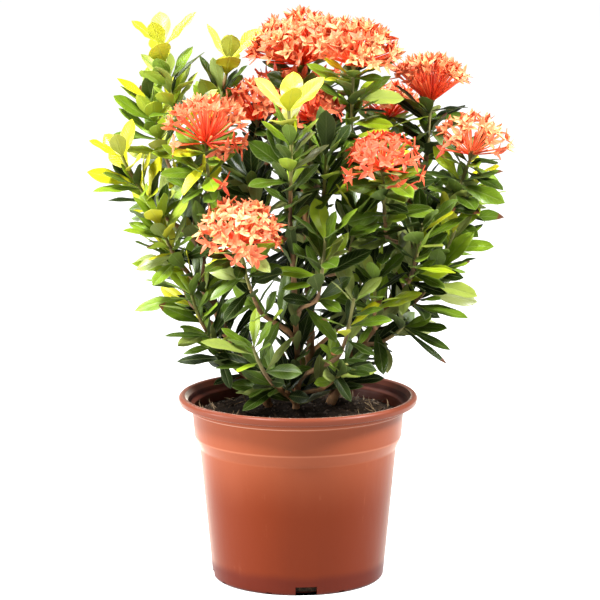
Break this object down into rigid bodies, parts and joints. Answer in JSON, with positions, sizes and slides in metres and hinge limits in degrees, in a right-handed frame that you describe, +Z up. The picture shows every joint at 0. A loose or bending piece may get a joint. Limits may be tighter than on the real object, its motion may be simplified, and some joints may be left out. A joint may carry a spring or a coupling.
{
  "type": "potted ixora",
  "caption": "Bushy flowering shrub in a round plastic nursery pot: forked woody stems, whorls of glossy oval leaves, yellow young tips and domed heads of four-lobed florets.",
  "frame": {"origin": "middle of the pot's flat base, on the surface it stands on", "axes": "+Z up along the pot's axis, -Y towards the side that the fullest flower heads face, +X to the right seen from that side"},
  "size_m": [0.3287, 0.2489, 0.4527],
  "materials": {
    "pot_plastic": "satin",
    "potting_mix": "matte",
    "bark": "matte",
    "leaf_deep": "satin",
    "leaf_mid": "satin",
    "leaf_light": "satin",
    "leaf_lime": "satin",
    "leaf_young": "satin",
    "petals": "matte"
  },
  "bodies": {
    "root": {"pot": "pot_plastic", "soil": "potting_mix", "trunk_left": "bark", "trunk_centre": "bark", "trunk_right": "bark", "trunk_front": "bark", "trunk_back": "bark", "shoot_left_1": "leaf_mid", "shoot_left_2": "leaf_light", "shoot_left_3": "leaf_lime", "shoot_left_4": "leaf_lime", "shoot_left_5": "leaf_lime", "shoot_left_6": "leaf_lime", "shoot_left_7": "leaf_light", "shoot_left_8": "leaf_mid", "shoot_left_9": "leaf_deep", "shoot_left_10": "leaf_mid", "shoot_front_1": "leaf_mid", "shoot_front_2": "leaf_mid", "shoot_front_3": "leaf_light", "shoot_front_4": "leaf_mid", "shoot_front_5": "leaf_deep", "shoot_front_6": "leaf_mid", "shoot_front_7": "leaf_deep", "shoot_front_8": "leaf_mid", "shoot_centre_1": "leaf_deep", "shoot_centre_2": "leaf_deep", "shoot_centre_3": "leaf_mid", "shoot_centre_4": "leaf_mid", "shoot_centre_5": "leaf_deep", "shoot_right_1": "leaf_mid", "shoot_right_2": "leaf_light", "shoot_right_3": "leaf_mid", "shoot_right_4": "leaf_deep", "shoot_right_5": "leaf_mid", "shoot_right_6": "leaf_deep", "shoot_right_7": "leaf_mid", "shoot_right_8": "leaf_mid", "shoot_right_9": "leaf_mid", "shoot_right_10": "leaf_mid", "shoot_right_11": "leaf_mid", "shoot_right_12": "leaf_mid", "shoot_back_1": "leaf_mid", "shoot_back_2": "leaf_light", "shoot_back_3": "leaf_deep", "young_1": "leaf_young", "young_2": "leaf_young", "young_3": "leaf_young", "young_4": "leaf_young", "young_5": "leaf_young", "bloom_1": "petals", "bloom_2": "petals", "bloom_3": "petals", "bloom_4": "petals", "bloom_5": "petals", "bloom_6": "petals", "bloom_7": "petals", "bloom_8": "petals", "bloom_9": "petals", "bloom_10": "petals"}
  },
  "joints": []
}
